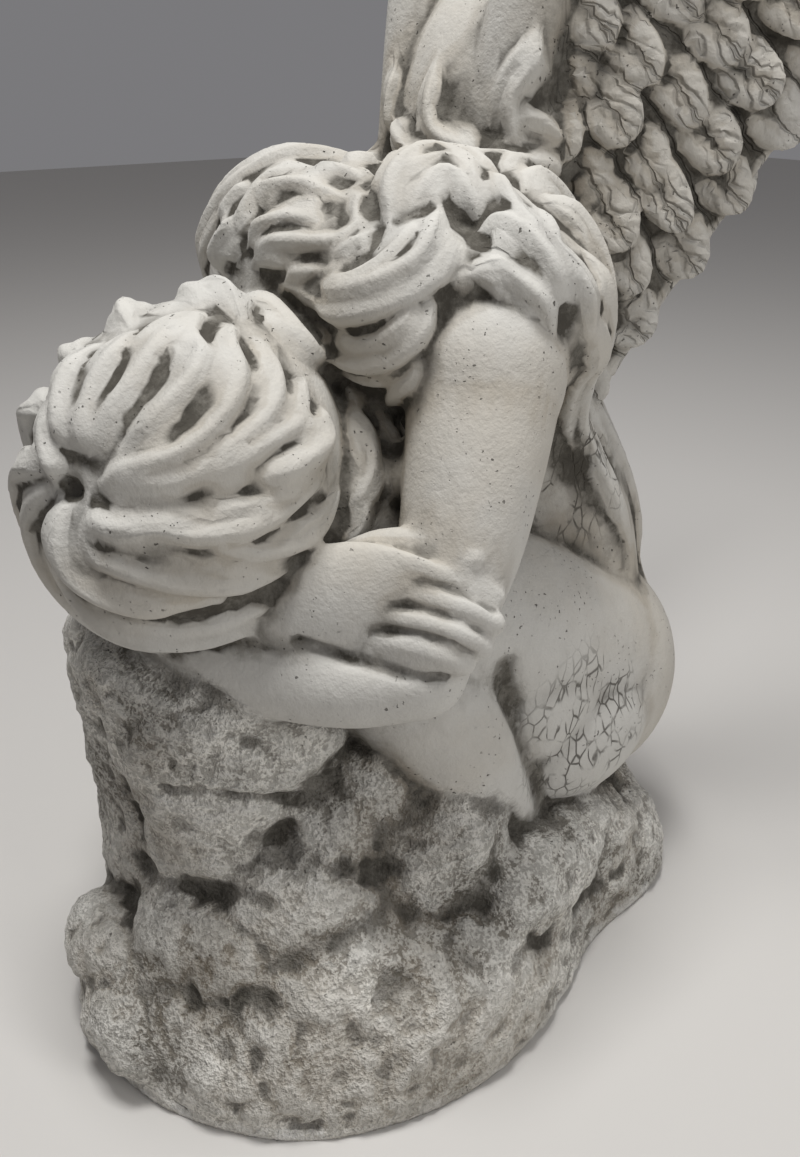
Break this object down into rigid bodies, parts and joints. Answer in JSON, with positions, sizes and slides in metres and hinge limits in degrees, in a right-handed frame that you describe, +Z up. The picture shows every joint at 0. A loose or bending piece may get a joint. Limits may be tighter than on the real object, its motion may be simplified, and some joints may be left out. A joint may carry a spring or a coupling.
{
  "type": "garden statue",
  "caption": "Crouching winged woman on a rough rock, her head bowed on her folded arms, long hair over her shoulders and tall wings raised behind her, cast in one piece.",
  "frame": {"origin": "on the floor, in the middle of the rock's foot", "axes": "+Z up, she faces -Y, her left side is +X"},
  "size_m": [0.3204, 0.4171, 0.6487],
  "materials": {
    "cast_stone": "weathered matt cast concrete"
  },
  "bodies": {
    "root": {"winged_woman_statue": "cast_stone"}
  },
  "joints": []
}
